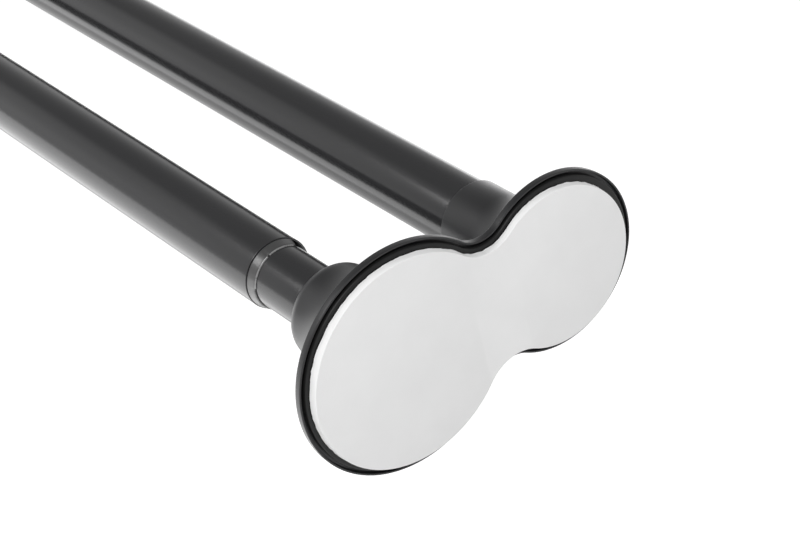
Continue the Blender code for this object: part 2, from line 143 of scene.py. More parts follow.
# Fineness
TUBE_SIDES = 160
LARGE_STEPS = 180
WAIST_STEPS = 22
SMALL_STEPS = 130
DIVIDE_STEPS = 48
ROUND_STEPS = 12
FLARE_STEPS = 36
EDGE_STEPS = 4
DETAIL_SIDES = 96
BUSHING_STEPS = 2 * TUBE_SIDES
FLOOR_SIDES = 96
SHARP_ANGLE = radians(40)
# The flare's rings crowd towards its narrow end
FLARE_CROWDING = 1.6
# Rows of the pad's side, and rows that keep the shading of the bushing's taper true near its ends
PAD_SIDE_SHARES = (0.2, 0.4, 0.6, 0.8, 1.0)
BUSHING_TAPER_SHARES = (0.03, 0.97)

# Depths that several pieces share
PLATE_FRONT = PAD_THICKNESS + FIT_GAP
PLATE_BACK = PLATE_FRONT + PLATE_THICKNESS
LEDGE = PLATE_BACK + FIT_GAP
RIM_BACK = RIM_SETBACK + RIM_DEPTH
SPIGOT_END = PLATE_BACK + SPIGOT_LENGTH
HALF_SPACING = ROD_SPACING / 2
COLLAR_RADIUS = OUTER_TUBE_RADIUS + FIT_GAP + COLLAR_WALL

# Camera: the photograph's place, direction and lens
CAMERA_PLACE = (0.45931, -0.28569, 0.40308)
CAMERA_AZIMUTH = radians(150.531)
CAMERA_ELEVATION = radians(-34.950)
CAMERA_ROLL = radians(13.941)
CAMERA_LENS_MM = 98.69
SENSOR_MM = 36.0
CLIP_START = 0.01
CLIP_END = 50

# Soft boxes: place, target, width, height and radiance
SOFT_BOXES = (
    ("key_softbox", (0.55, -0.62, 1.15), (0, 0, 0), 0.5, 0.5, 14.0),
    ("high_softbox", (-0.45, -0.50, 0.67), (-0.0715, -0.03, 0), 0.26, 0.18, 11.0),
)
# Strips along the rods: two (y, z) edges, radiance and the y of the rod that each one faces
STRIPS = (
    ("front_strip", (-0.050, -0.058), (-0.172, 0.006), 1.45, -HALF_SPACING),
    ("rear_strip", (0.071, -0.037), (0.130, 0.009), 1.6, HALF_SPACING),
)
STRIP_ENDS = (-0.75, -0.02)

# Strength of the world: a range of the direction and the strengths at its two ends, for how high it
# points, how far towards +X, and how closely along the glow
SKY_BY_HEIGHT = (0.0, 0.68, 1.0, 0.31)
SKY_BY_FRONT = (-0.2, 0.4, 0.0, 0.66)
SKY_BY_GLOW = (0.89, 0.99, 0.0, 0.5)
GLOW_DIRECTION = (-0.76, -0.42, 0.495)

FLOOR_HEIGHT = -0.55
FLOOR_RADIUS = 6.0
FLOOR_COLOUR = (0.85, 0.85, 0.85)
FLOOR_ROUGHNESS = 0.9
FLOOR_GLOW = 0.55

# Materials: darkest and lightest colour, lowest and highest roughness, and single values
NOISE_RANGE = (0.3, 0.7)
COAT_COLOURS = (0.017, 0.017, 0.018), (0.025, 0.025, 0.026)
COAT_ROUGHNESS = (0.15, 0.21)
BARE_METAL = (0.34, 0.34, 0.35)
NYLON_COLOURS = (0.028, 0.028, 0.028), (0.046, 0.046, 0.046)
NYLON_ROUGHNESS = (0.28, 0.36)
NYLON_SPECULAR = 0.8
# Paler colour painted along the bushing's front edge as a highlight on its nose, and the share of a
# step in which it fades
NOSE_HIGHLIGHT_PAINT = (0.24, 0.24, 0.24)
NOSE_HIGHLIGHT_FADE = 0.3
FOAM_COLOURS = (0.76, 0.76, 0.76), (0.82, 0.82, 0.82)
FOAM_ROUGHNESS = 0.85
FOAM_SHEEN = 0.08
FOAM_CELLS = 2600
WHITE = (1, 1, 1, 1)

# Finishes made of a cloud in the colour and a fine grain in gloss and relief, both in cells per
# metre; bump is the grain's strength and height
GRAINED_FINISHES = {
    # Satin black plastic with the fine grain of its mould
    "plastic": dict(name="satin_black_plastic", cloud=45, cells=3200, detail=4,
                    colours=((0.011, 0.011, 0.012), (0.016, 0.016, 0.017)),
                    roughness=(0.34, 0.42), bump=(0.08, 0.00004), specular=0.4),
    # The plate in the recess, a duller black than the cover
    "plate": dict(name="dull_black_plastic", cloud=160, cells=2600, detail=4,
                  colours=((0.008, 0.008, 0.008), (0.014, 0.014, 0.014)),
                  roughness=(0.34, 0.5), bump=(0.15, 0.00005), specular=0.22),
    # Zinc-plated steel, drawn along its axis
    "zinc": dict(name="zinc_plated_steel", cloud=240, cells=1500, stretch=(0.05, 1, 1),
                 colours=((0.5, 0.5, 0.51), (0.64, 0.64, 0.65)),
                 roughness=(0.24, 0.42), bump=(0.1, 0.00005), metallic=1.0),
    # Natural white nylon of the jack's moulded pieces
    "white": dict(name="white_nylon_moulding", cloud=120, cells=2400,
                  colours=((0.7, 0.7, 0.67), (0.79, 0.79, 0.77)),
                  roughness=(0.38, 0.5), bump=(0.1, 0.00005)),
}


def arc(centre, radius, start, end, steps):
    """Points on a circle from one angle to another, both ends included."""
    step = (end - start) / steps
    return [(centre[0] + radius * cos(start + step * i), centre[1] + radius * sin(start + step * i))
            for i in range(steps + 1)]


def bent(before, corner, after, steps):
    """A smooth bend from one point to another, led by the corner between them."""
    points = []
    for i in range(steps + 1):
        t = i / steps
        points.append(tuple((1 - t) ** 2 * a + 2 * t * (1 - t) * b + t * t * c
                            for a, b, c in zip(before, corner, after)))
    return points


def finish_mesh(name, bm, place):
    """Turn a bmesh into a smooth object whose points stand at a place."""
    bmesh.ops.recalc_face_normals(bm, faces=bm.faces)
    bm.transform(place)
    mesh = bpy.data.meshes.new(name)
    bm.to_mesh(mesh)
    bm.free()
    mesh.shade_smooth()
    mesh.set_sharp_from_angle(angle=SHARP_ANGLE)
    made = bpy.data.objects.new(name, mesh)
    bpy.context.scene.collection.objects.link(made)
    return made


def end_place(end):
    """The near end's frame, or the far end's: half a turn about Z, one length away."""
    if end == "near":
        return Matrix.Identity(4)
    return Matrix.Translation((-OVERALL_LENGTH, 0, 0)) @ Matrix.Rotation(pi, 4, "Z")


def rod_place(end, side):
    """The frame of one rod axis of an end: -1 is the fixed tube's axis, +1 the turning one's."""
    return end_place(end) @ Matrix.Translation((0, side * HALF_SPACING, 0))


def bridge(bm, loop, following):
    """Join two loops of as many points with quads."""
    for k in range(len(loop)):
        bm.faces.new((loop[k], loop[k - 1], following[k - 1], following[k]))


def rings_of(bm, profile, sides):
    """A ring about the local X axis for each (depth, radius) point of a profile."""
    angles = [2 * pi * k / sides for k in range(sides)]
    return [[bm.verts.new((-depth, radius * cos(a), radius * sin(a))) for a in angles]
            for depth, radius in profile]


def turned(name, profile, place, sides=TUBE_SIDES):
    """A body turned from a closed profile of (depth, radius) points."""
    bm = bmesh.new()
    rings = rings_of(bm, profile, sides)
    for ring, following in zip(rings, rings[1:] + rings[:1]):
        bridge(bm, ring, following)
    return finish_mesh(name, bm, place)


def tube_profile(start, end, radius):
    """Wall of a tube with softly rounded lips."""
    lip = TUBE_LIP_ROUND
    inner = radius - TUBE_WALL
    profile = arc((start + lip, inner + lip), lip, 3 * pi / 2, pi, EDGE_STEPS)
    profile += arc((start + lip, radius - lip), lip, pi, pi / 2, EDGE_STEPS)
    profile += arc((end - lip, radius - lip), lip, pi / 2, 0, EDGE_STEPS)
    profile += arc((end - lip, inner + lip), lip, 0, -pi / 2, EDGE_STEPS)
    return profile


def pad_outline(grow, shift):
    """The lobed outline grown outward, from the upper end of the dividing line and round to it.

    The large lobe at -Y comes first, then the small lobe, moved outward by the shift.  Also returns
    where the lower end of the dividing line comes in the list.
    """
    large = PAD_LARGE_RADIUS + grow
    small = PAD_SMALL_RADIUS + grow
    waist = PAD_WAIST_RADIUS + WAIST_SOFTENING - grow
    large_y = -HALF_SPACING
    small_y = HALF_SPACING + shift
    to_large = large + waist
    to_small = small + waist
    waist_y = (large_y + small_y) / 2 + (to_large ** 2 - to_small ** 2) / (2 * (small_y - large_y))
    waist_z = sqrt(to_large ** 2 - (waist_y - large_y) ** 2)
    at_large = atan2(waist_z, waist_y - large_y)
    at_small = atan2(waist_z, waist_y - small_y)
    cut = acos((DIVIDE_Y - waist_y) / waist)
    upper, lower = (waist_y, waist_z), (waist_y, -waist_z)
    points = arc(upper, waist, -cut, at_large - pi, WAIST_STEPS)
    points += arc((large_y, 0), large, at_large, 2 * pi - at_large, LARGE_STEPS)[1:]
    points += arc(lower, waist, pi - at_large, cut, WAIST_STEPS)[1:]
    lower_end = len(points) - 1
    points += arc(lower, waist, cut, pi - at_small, WAIST_STEPS)[1:]
    points += arc((small_y, 0), small, -at_small, at_small, SMALL_STEPS)[1:]
    points += arc(upper, waist, at_small - pi, -cut, WAIST_STEPS)[1:-1]
    return points, lower_end


def lobed_stack(bm, stations, shift):
    """Loops of the lobed outline at (depth, growth) stations, joined one to the next."""
    loops = []
    for depth, grow in stations:
        loops.append([bm.verts.new((-depth, y, z)) for y, z in pad_outline(grow, shift)[0]])
    for loop, following in zip(loops, loops[1:]):
        bridge(bm, loop, following)
    return loops


def flare(start, radius, foot_radius):
    """Circle of a bell-shaped flare: depth and radius of its centre, and its own radius."""
    rise = foot_radius - radius
    run = start - RIM_BACK
    bend = (rise ** 2 + run ** 2) / (2 * rise)
    return start, radius + bend, bend


BOSS_FLARE = flare(BOSS_FLARE_START, BOSS_RADIUS, BOSS_FOOT_RADIUS)
COLLAR_FLARE = flare(COLLAR_FLARE_START, COLLAR_RADIUS, COLLAR_FOOT_RADIUS)


def flare_depth(circle, radius, wall):
    """Depth of a flare at a radius, one wall further in for its inner side."""
    start, centre, bend = circle
    across = max(0.0, centre - radius)
    return start - sqrt(max(0.0, (bend + wall) ** 2 - across ** 2))


def blend(one, other, width):
    """The larger of two depths, with a soft fillet where they meet."""
    near = max(0.0, width - abs(one - other)) / width
    return max(one, other) + near ** 2 * width / 4


def web_depth(y, z, wall, ground):
    """Depth of the cover's wall between the boss, the collar and the rim."""
    boss = flare_depth(BOSS_FLARE, hypot(y + HALF_SPACING, z), wall)
    collar = flare_depth(COLLAR_FLARE, hypot(y - HALF_SPACING, z), wall)
    return blend(blend(boss, collar, VALLEY_BLEND), ground, FOOT_BLEND)


def boss_skins():
    """Outer and inner (depth, radius) stations of the boss, from its tube hole to its flare."""
    hole = INNER_TUBE_RADIUS + FIT_GAP
    lip = TUBE_LIP_ROUND
    shoulder = (BOSS_REACH - BOSS_EDGE_ROUND, BOSS_RADIUS - BOSS_EDGE_ROUND)
    outer = arc((BOSS_REACH - lip, hole + lip), lip, -pi / 2, 0, EDGE_STEPS)
    outer += arc(shoulder, BOSS_EDGE_ROUND, 0, pi / 2, ROUND_STEPS)
    outer.append((BOSS_FLARE_START, BOSS_RADIUS))
    back = BOSS_REACH - BOSS_BACK_WALL
    inner_radius = BOSS_RADIUS - SHELL_WALL
    inner_round = min(BOSS_EDGE_ROUND - SHELL_WALL, inner_radius - hole)
    inner = [(back, hole)]
    inner += arc((back - inner_round, inner_radius - inner_round), inner_round,
                 0, pi / 2, EDGE_STEPS)
    inner.append((BOSS_FLARE_START, inner_radius))
    return outer, inner


def collar_skins():
    """Outer and inner (depth, radius) stations of the collar, from its lip to its flare."""
    bore = OUTER_TUBE_RADIUS + FIT_GAP
    lip = COLLAR_LIP_ROUND
    outer = arc((COLLAR_REACH - lip, bore + lip), lip, -pi / 2, 0, EDGE_STEPS)
    outer += arc((COLLAR_REACH - lip, COLLAR_RADIUS - lip), lip, 0, pi / 2, EDGE_STEPS)
    outer.append((COLLAR_FLARE_START, COLLAR_RADIUS))
    return outer, [(flare_depth(COLLAR_FLARE, bore, SHELL_WALL), bore)]


def fan(bm, axis_y, skin, border, wall, ground):
    """Rings round one rod axis: first the skin's own stations, then the flare out to the border."""
    angles = [atan2(vert.co.z, vert.co.y - axis_y) for vert in border]
    reaches = [hypot(vert.co.z, vert.co.y - axis_y) for vert in border]
    rings = []
    for depth, radius in skin:
        rings.append([bm.verts.new((-depth, axis_y + radius * cos(a), radius * sin(a)))
                      for a in angles])
    start = skin[-1][1]
    for k in range(1, FLARE_STEPS):
        share = (k / FLARE_STEPS) ** FLARE_CROWDING
        ring = []
        for angle, reach in zip(angles, reaches):
            radius = start + (reach - start) * share
            y, z = axis_y + radius * cos(angle), radius * sin(angle)
            ring.append(bm.verts.new((-web_depth(y, z, wall, ground), y, z)))
        rings.append(ring)
    rings.append(border)
    for ring, following in zip(rings, rings[1:]):
        bridge(bm, ring, following)
    return rings[0]


def shell_side(bm, loop, lower_end, skins, wall, ground):
    """One side of the cover's wall: two fans, the boss's and the collar's, that meet on a line."""
    top, bottom = loop[0].co.z, loop[lower_end].co.z
    divide = []
    for k in range(1, DIVIDE_STEPS):
        z = bottom + (top - bottom) * k / DIVIDE_STEPS
        divide.append(bm.verts.new((-web_depth(DIVIDE_Y, z, wall, ground), DIVIDE_Y, z)))
    boss_border = loop[:lower_end + 1] + divide
    collar_border = loop[lower_end:] + [loop[0]] + divide[::-1]
    return (fan(bm, -HALF_SPACING, skins[0], boss_border, wall, ground),
            fan(bm, HALF_SPACING, skins[1], collar_border, wall, ground))


def cover(name, place):
    """Moulded cover: rounded lobed rim, domed boss and collar with flared feet, hollow inside."""
    boss_outer, boss_inner = boss_skins()
    collar_outer, collar_inner = collar_skins()
    bm = bmesh.new()
    lip = RIM_LIP_ROUND
    stations = arc((RIM_BACK - RIM_ROUND, RIM_OVERHANG - RIM_ROUND), RIM_ROUND,
                   0, pi / 2, EDGE_STEPS)
    stations += arc((RIM_SETBACK + lip, RIM_OVERHANG - lip), lip, pi / 2, pi, EDGE_STEPS)
    inside = RIM_OVERHANG - RIM_WALL
    stations += arc((RIM_SETBACK + lip, inside + lip), lip, pi, 3 * pi / 2, EDGE_STEPS)
    stations += [(LEDGE - lip, inside), (LEDGE, inside - lip)]
    loops = lobed_stack(bm, stations, SMALL_LOBE_SHIFT)
    lower_end = pad_outline(0, 0)[1]
    outer_rings = shell_side(bm, loops[0], lower_end, (boss_outer, collar_outer), 0, RIM_BACK)
    inner_rings = shell_side(bm, loops[-1], lower_end, (boss_inner, collar_inner),
                             SHELL_WALL, LEDGE)
    for outer_ring, inner_ring in zip(outer_rings, inner_rings):
        bridge_round(bm, outer_ring, inner_ring)
    return finish_mesh(name, bm, place)


def bridge_round(bm, ring, other):
    """Join two rings of a tube hole whose points lie at slightly different angles."""
    edges = [bm.edges.get((ring[k], ring[k - 1])) for k in range(len(ring))]
    edges += [bm.edges.get((other[k], other[k - 1])) for k in range(len(other))]
    bmesh.ops.bridge_loops(bm, edges=edges)


def solid_stack(name, stations, shift, place):
    """A closed body from loops of the lobed outline, with both ends filled."""
    bm = bmesh.new()
    loops = lobed_stack(bm, stations, shift)
    ends = [bm.faces.new(loops[0]), bm.faces.new(loops[-1])]
    bmesh.ops.triangulate(bm, faces=ends)
    return finish_mesh(name, bm, place)


def disc_stack(name, profile, place):
    """A body turned from an open profile, with both ends filled."""
    bm = bmesh.new()
    rings = rings_of(bm, profile, DETAIL_SIDES)
    for ring, following in zip(rings, rings[1:]):
        bridge(bm, ring, following)
    bm.faces.new(rings[0])
    bm.faces.new(rings[-1])
    return finish_mesh(name, bm, place)


def combine(target, tool, operation):
    """Cut a tool from a target or weld it on, and remove the tool."""
    change = target.modifiers.new(operation.lower(), "BOOLEAN")
    change.operation = operation
    change.solver = "EXACT"
    change.object = tool
    graph = bpy.context.evaluated_depsgraph_get()
    graph.update()
    result = bpy.data.meshes.new_from_object(target.evaluated_get(graph))
    target.modifiers.clear()
    target.data = result
    bpy.data.objects.remove(tool)


def pad_plate(name, end):
    """Plate behind the pad, with the socket and the spigots that hold the two rods."""
    edge = PLATE_ROUND
    stations = arc((PLATE_FRONT + edge, PLATE_OVERHANG - edge), edge, pi, pi / 2, EDGE_STEPS)
    stations += [(PLATE_BACK, PLATE_OVERHANG)]
    plate = solid_stack(name, stations, SMALL_LOBE_SHIFT, end_place(end))
    root = PLATE_BACK - PLATE_THICKNESS / 2
    bore = INNER_TUBE_RADIUS + FIT_GAP
    far = PLATE_BACK + SOCKET_LENGTH
    outside = bore + SOCKET_WALL
    wall = [(root, bore), (far, bore), (far, outside), (root, outside)]
    socket = turned(f"{name}_socket", wall, rod_place(end, -1), DETAIL_SIDES)
    combine(plate, socket, "UNION")
    sunk = PLATE_FRONT + HEAD_DEPTH
    holes = ((-1, SCREW_CLEARANCE, SCREW_HEAD_RADIUS),
             (1, JOURNAL_RADIUS + FIT_GAP, SWIVEL_HEAD_RADIUS))
    for side, hole, head in holes:
        place = rod_place(end, side)
        post = [(root, SPIGOT_RADIUS), (SPIGOT_END, SPIGOT_RADIUS)]
        bored = [(0, head + FIT_GAP), (sunk, head + FIT_GAP), (sunk, hole),
                 (SPIGOT_END + root, hole)]
        spigot = disc_stack(f"{name}_spigot", post, place)
        drill = disc_stack(f"{name}_drill", bored, place)
        combine(plate, spigot, "UNION")
        combine(plate, drill, "DIFFERENCE")
    plate.data.shade_smooth()
    plate.data.set_sharp_from_angle(angle=SHARP_ANGLE)
    return plate


def edge_spread(y, z):
    """How far the pad's back edge lies outside its face edge."""
    wave = noise.noise(Vector((0, y, z)) * PAD_EDGE_WAVE_CELLS)
    spread = PAD_EDGE_SPREAD + wave * PAD_EDGE_WAVE
    for at_y, at_z, width, most in PAD_BULGES:
        spread += most * max(0.0, 1 - hypot(y - at_y, z - at_z) / width / 2)
    return max(0.0, spread)


def wall_pad(name, end):
    """Soft pad with a barely rounded face edge and an uneven cut side that widens to the plate."""
    stations = arc((PAD_ROUND, -PAD_ROUND), PAD_ROUND, pi, pi / 2, EDGE_STEPS)
    stations += [(PAD_THICKNESS * share, 0) for share in PAD_SIDE_SHARES]
    pad = solid_stack(name, stations, 0, Matrix.Identity(4))
    for vert in pad.data.vertices:
        share = max(0.0, -vert.co.x - PAD_ROUND) / PAD_THICKNESS
        if share:
            outward = Vector((0, vert.co.y, vert.co.z)).normalized()
            tear = noise.noise(vert.co * PAD_EDGE_TEAR_CELLS) * PAD_EDGE_TEAR
            tear *= share ** PAD_EDGE_TEAR_POWER
            vert.co += outward * (edge_spread(vert.co.y, vert.co.z) * share + tear)
    pad.data.transform(end_place(end))
    return pad


def along(start, end, share):
    """The point at a share of the way between two."""
    return tuple(a + (b - a) * share for a, b in zip(start, end))


def bushing(name, place):
    """Split bushing: a thin neck in the tube's mouth, a tapered collar, a ragged front edge."""
    bore = INNER_TUBE_RADIUS + FIT_GAP
    neck = OUTER_TUBE_RADIUS - TUBE_WALL - FIT_GAP
    edge = BUSHING_ROUND
    outside = OUTER_TUBE_RADIUS - BUSHING_COLLAR_STEP
    seat = MOUTH_STANDOFF - FIT_GAP
    front = seat - BUSHING_COLLAR_LENGTH
    end = MOUTH_STANDOFF + BUSHING_NECK_LENGTH
    start = BUSHING_SLIT_CENTRE + BUSHING_SLIT_ANGLE / 2
    sweep = 2 * pi - BUSHING_SLIT_ANGLE
    thin = bore + BUSHING_FRONT_WALL
    rise = (outside - thin) * BUSHING_NOSE / BUSHING_COLLAR_LENGTH
    bm = bmesh.new()
    sections = []
    for k in range(BUSHING_STEPS + 1):
        angle = start + sweep * k / BUSHING_STEPS
        tip = front if BUSHING_TONGUE[0] < angle < BUSHING_TONGUE[1] else front + BUSHING_STEP
        if abs(angle - BUSHING_NICK) < BUSHING_NICK_REACH:
            tip += BUSHING_STEP
        tip += abs(noise.noise(Vector((0, angle * BUSHING_TEAR_CELLS, 0)))) * BUSHING_TEAR
        profile = [(tip + BUSHING_NOSE, bore), (tip, bore - BUSHING_LIP)]
        profile += bent((tip, bore - BUSHING_LIP / 2), (tip, thin),
                        (tip + BUSHING_NOSE, thin + rise), ROUND_STEPS)
        profile += [along(profile[-1], (seat - edge, outside), share)
                    for share in BUSHING_TAPER_SHARES]
        profile += arc((seat - edge, outside - edge), edge, pi / 2, 0, EDGE_STEPS)
        profile += [(seat, neck), (end, neck), (end, bore)]
        sections.append([bm.verts.new((-depth, radius * cos(angle), radius * sin(angle)))
                         for depth, radius in profile])
    for section, following in zip(sections, sections[1:]):
        bridge(bm, section, following)
    bm.faces.new(sections[0])
    bm.faces.new(sections[-1])
    return finish_mesh(name, bm, place)


def node_tree(name):
    """A new material with its nodes, links, shader and object coordinates."""
    material = bpy.data.materials.new(name)
    material.use_nodes = True
    nodes = material.node_tree.nodes
    place = nodes.new("ShaderNodeTexCoord").outputs["Object"]
    return material, nodes, material.node_tree.links, nodes["Principled BSDF"], place


def grain(nodes, links, place, scale, detail=3, stretch=(1, 1, 1)):
    """A noise pattern over the object, scale in cells per metre."""
    mapping = nodes.new("ShaderNodeMapping")
    mapping.inputs["Scale"].default_value = stretch
    links.new(place, mapping.inputs["Vector"])
    pattern = nodes.new("ShaderNodeTexNoise")
    pattern.inputs["Scale"].default_value = scale
    pattern.inputs["Detail"].default_value = detail
    links.new(mapping.outputs["Vector"], pattern.inputs["Vector"])
    return pattern.outputs["Fac"]


def ramp(nodes, links, value, start, end, low, high, ends="SMOOTHSTEP"):
    """Carry a value from one range to another, with soft ends unless told otherwise."""
    change = nodes.new("ShaderNodeMapRange")
    change.interpolation_type = ends
    change.inputs["From Min"].default_value = start
    change.inputs["From Max"].default_value = end
    change.inputs["To Min"].default_value = low
    change.inputs["To Max"].default_value = high
    links.new(value, change.inputs["Value"])
    return change.outputs["Result"]


def spread(nodes, links, pattern, low, high):
    """Carry a noise pattern over to the range low to high."""
    return ramp(nodes, links, pattern, *NOISE_RANGE, low, high, ends="LINEAR")


def joined(nodes, links, operation, one, other):
    """Two values joined by a math operation."""
    change = nodes.new("ShaderNodeMath")
    change.operation = operation
    links.new(one, change.inputs[0])
    links.new(other, change.inputs[1])
    return change.outputs[0]


def mixed(nodes, links, share, one, other):
    """A colour that gives way to another with a share; each is a socket or three numbers."""
    mix = nodes.new("ShaderNodeMix")
    mix.data_type = "RGBA"
    for colour, socket in ((one, mix.inputs[6]), (other, mix.inputs[7])):
        if isinstance(colour, tuple):
            socket.default_value = (*colour, 1)
        else:
            links.new(colour, socket)
    links.new(share, mix.inputs[0])
    return mix.outputs[2]


def steps_of(nodes, links, value, steps):
    """Carry a vector through a row of vector operations."""
    for operation, amount in steps:
        change = nodes.new("ShaderNodeVectorMath")
        change.operation = operation
        links.new(value, change.inputs[0])
        if amount:
            change.inputs[1].default_value = amount
        value = change.outputs["Value" if operation == "LENGTH" else "Vector"]
    return value


def relief(nodes, links, shader, heights):
    """Chain bumps from (pattern, strength, distance) onto the shader's normal."""
    normal = None
    for pattern, strength, distance in heights:
        bump = nodes.new("ShaderNodeBump")
        bump.inputs["Strength"].default_value = strength
        bump.inputs["Distance"].default_value = distance
        links.new(pattern, bump.inputs["Height"])
        if normal:
            links.new(normal, bump.inputs["Normal"])
        normal = bump.outputs["Normal"]
    links.new(normal, shader.inputs["Normal"])


def grained(name, colours, cloud, cells, roughness, bump,
            detail=3, stretch=(1, 1, 1), specular=0.5, metallic=0.0):
    """A finish with a cloudy colour whose gloss and relief follow a fine grain."""
    material, nodes, links, shader, place = node_tree(name)
    clouds = grain(nodes, links, place, scale=cloud)
    fine = grain(nodes, links, place, scale=cells, detail=detail, stretch=stretch)
    links.new(mixed(nodes, links, clouds, *colours), shader.inputs["Base Color"])
    shader.inputs["Specular IOR Level"].default_value = specular
    shader.inputs["Metallic"].default_value = metallic
    links.new(spread(nodes, links, fine, *roughness), shader.inputs["Roughness"])
    relief(nodes, links, shader, [(fine, *bump)])
    return material


def coated_tube(name, bare_within):
    """Satin black powder coat with a fine orange peel; the tube's inside is bare metal."""
    material, nodes, links, shader, place = node_tree(name)
    clouds = grain(nodes, links, place, scale=30, stretch=(0.25, 1, 1))
    peel = grain(nodes, links, place, scale=900, detail=2)
    fine = grain(nodes, links, place, scale=5200, detail=2)
    coat = mixed(nodes, links, clouds, *COAT_COLOURS)
    # Distance from the axis, the same for both rods because they lie HALF_SPACING to either side
    off_axis = steps_of(nodes, links, place, (
        ("ABSOLUTE", None), ("SUBTRACT", (0, HALF_SPACING, 0)),
        ("MULTIPLY", (0, 1, 1)), ("LENGTH", None)))
    bare = ramp(nodes, links, off_axis, bare_within, bare_within + TUBE_WALL / 2, 1.0, 0.0)
    links.new(mixed(nodes, links, bare, coat, BARE_METAL), shader.inputs["Base Color"])
    links.new(spread(nodes, links, peel, *COAT_ROUGHNESS), shader.inputs["Roughness"])
    relief(nodes, links, shader, [(peel, 0.05, 0.0001), (fine, 0.2, 0.00003)])
    return material


def grey_nylon():
    """Smooth grey nylon with faint flow marks round the ring, and a highlight painted as a paler
    colour along its front edge.
    """
    material, nodes, links, shader, place = node_tree("grey_nylon_moulding")
    flow = grain(nodes, links, place, scale=420, stretch=(3, 1, 1))
    fine = grain(nodes, links, place, scale=3800)
    shader.inputs["Specular IOR Level"].default_value = NYLON_SPECULAR
    nylon = mixed(nodes, links, flow, *NYLON_COLOURS)
    # Distance from the middle of the rods, the same for the bushings of both ends
    off_middle = steps_of(nodes, links, place, (
        ("ADD", (OVERALL_LENGTH / 2, 0, 0)), ("ABSOLUTE", None),
        ("MULTIPLY", (1, 0, 0)), ("LENGTH", None)))
    front = OVERALL_LENGTH / 2 - MOUTH_STANDOFF + FIT_GAP + BUSHING_COLLAR_LENGTH
    # Painted highlight: the nylon turns paler towards its front edge
    painted_highlight = ramp(nodes, links, off_middle,
                front - BUSHING_STEP, front - BUSHING_STEP * NOSE_HIGHLIGHT_FADE, 0.0, 1.0)
    links.new(mixed(nodes, links, painted_highlight, nylon, NOSE_HIGHLIGHT_PAINT), shader.inputs["Base Color"])
    links.new(spread(nodes, links, fine, *NYLON_ROUGHNESS), shader.inputs["Roughness"])
    relief(nodes, links, shader, [(flow, 0.08, 0.00008), (fine, 0.06, 0.00003)])
    return material


def white_foam():
    """White closed-cell foam: fine cells and a faint cloudiness."""
    material, nodes, links, shader, place = node_tree("white_foam_pad")
    clouds = grain(nodes, links, place, scale=70, detail=4)
    cells = nodes.new("ShaderNodeTexVoronoi")
    cells.inputs["Scale"].default_value = FOAM_CELLS
    links.new(place, cells.inputs["Vector"])
    links.new(mixed(nodes, links, clouds, *FOAM_COLOURS), shader.inputs["Base Color"])
    shader.inputs["Roughness"].default_value = FOAM_ROUGHNESS
    shader.inputs["Sheen Weight"].default_value = FOAM_SHEEN
    relief(nodes, links, shader, [(cells.outputs["Distance"], 0.12, 0.00012),
                                  (clouds, 0.1, 0.0004)])
    return material


def dress(piece, material, body=None, node=None):
    """Give a piece its material and slot, and hang it on its body in place of its solid."""
    piece.data.materials.clear()
    piece.data.materials.append(material)
    if body:
        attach(piece, body)
    if node:
        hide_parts(node)


def aim(made, place, direction, side):
    """Point an object's -Z along a direction, its X near side."""
    back = -Vector(direction).normalized()
    up = back.cross(Vector(side)).normalized()
    right = up.cross(back)
    made.matrix_world = Matrix.Translation(place) @ Matrix((right, up, back)).transposed().to_4x4()


def lamp(name, place, target, width, height, radiance, side=(1, 0, 0)):
    """A soft box of an even radiance, its width along side.  The camera doesn't see it."""
    light = bpy.data.lights.new(name, "AREA")
    light.shape = "RECTANGLE"
    light.size = width
    light.size_y = height
    light.energy = radiance * pi * width * height
    made = bpy.data.objects.new(name, light)
    bpy.context.scene.collection.objects.link(made)
    aim(made, place, Vector(target) - Vector(place), side)
    made.visible_camera = False


def strip(name, start, end, radiance, rod_y):
    """A soft strip along the rods, between two (y, z) edges, facing one rod's axis."""
    middle = Vector((sum(STRIP_ENDS) / 2, (start[0] + end[0]) / 2, (start[1] + end[1]) / 2))
    across = hypot(end[0] - start[0], end[1] - start[1])
    normal = Vector((0, start[1] - end[1], end[0] - start[0])).normalized()
    if normal.dot(Vector((middle.x, rod_y, 0)) - middle) < 0:
        normal = -normal
    lamp(name, middle, middle + normal, STRIP_ENDS[1] - STRIP_ENDS[0], across, radiance)


def studio():
    """Soft boxes and a white world, dim overhead so that the black stays black."""
    for name, place, target, width, height, radiance in SOFT_BOXES:
        lamp(name, place, target, width, height, radiance, side=(0, 1, 0))
    for name, start, end, radiance, rod_y in STRIPS:
        strip(name, start, end, radiance, rod_y)

    world = bpy.data.worlds.new("studio")
    bpy.context.scene.world = world
    world.use_nodes = True
    nodes, links = world.node_tree.nodes, world.node_tree.links
    surroundings = nodes["Background"]
    direction = nodes.new("ShaderNodeTexCoord").outputs["Generated"]
    parts = nodes.new("ShaderNodeSeparateXYZ")
    links.new(direction, parts.inputs[0])
    height = ramp(nodes, links, parts.outputs["Z"], *SKY_BY_HEIGHT)
    front = ramp(nodes, links, parts.outputs["X"], *SKY_BY_FRONT)
    towards = nodes.new("ShaderNodeVectorMath")
    towards.operation = "DOT_PRODUCT"
    links.new(direction, towards.inputs[0])
    towards.inputs[1].default_value = GLOW_DIRECTION
    glow = ramp(nodes, links, towards.outputs["Value"], *SKY_BY_GLOW)
    total = joined(nodes, links, "ADD", joined(nodes, links, "MAXIMUM", height, front), glow)
    links.new(total, surroundings.inputs["Strength"])
    surroundings.inputs["Color"].default_value = WHITE


